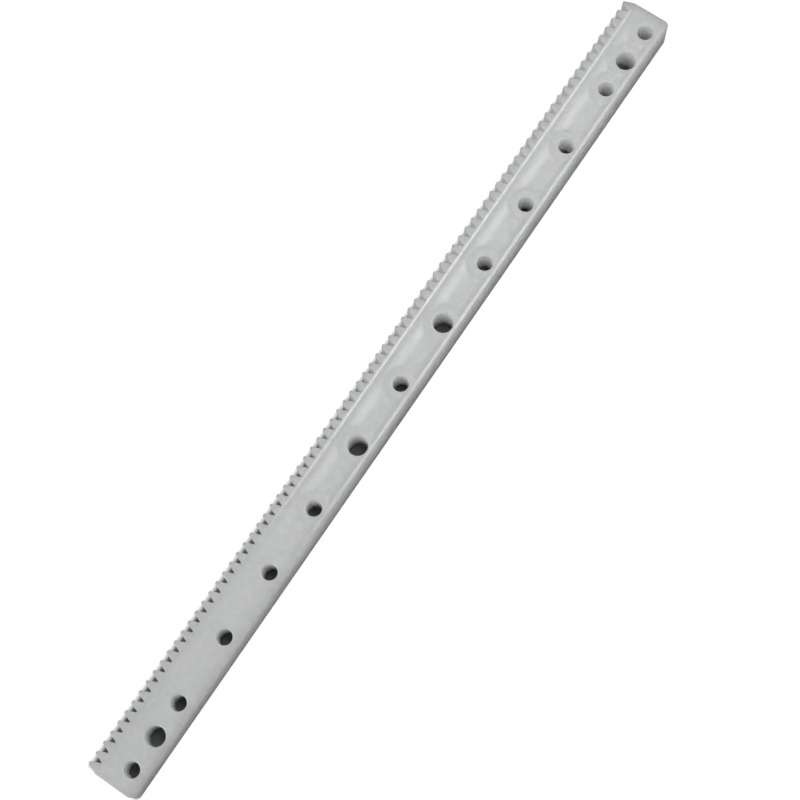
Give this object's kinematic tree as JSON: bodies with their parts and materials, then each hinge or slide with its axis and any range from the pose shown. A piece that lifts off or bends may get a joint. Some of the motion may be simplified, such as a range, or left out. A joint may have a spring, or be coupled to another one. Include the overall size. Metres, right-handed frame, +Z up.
{
  "type": "gear rack",
  "caption": "Straight moulded plastic gear rack: flat bar with involute rack teeth along its front edge and a row of screw holes near its back edge.",
  "frame": {"origin": "centre of the rack's outer box on its underside, the plane it lies on", "axes": "+X along the bar, +Y across it out of the tooth tips, +Z up through the thickness; the plain back edge faces -Y"},
  "size_m": [0.1304, 0.0074, 0.0052],
  "materials": {
    "white_plastic": "moulded white plastic with a slight gloss"
  },
  "bodies": {
    "root": {"gear_rack": "white_plastic"}
  },
  "joints": []
}
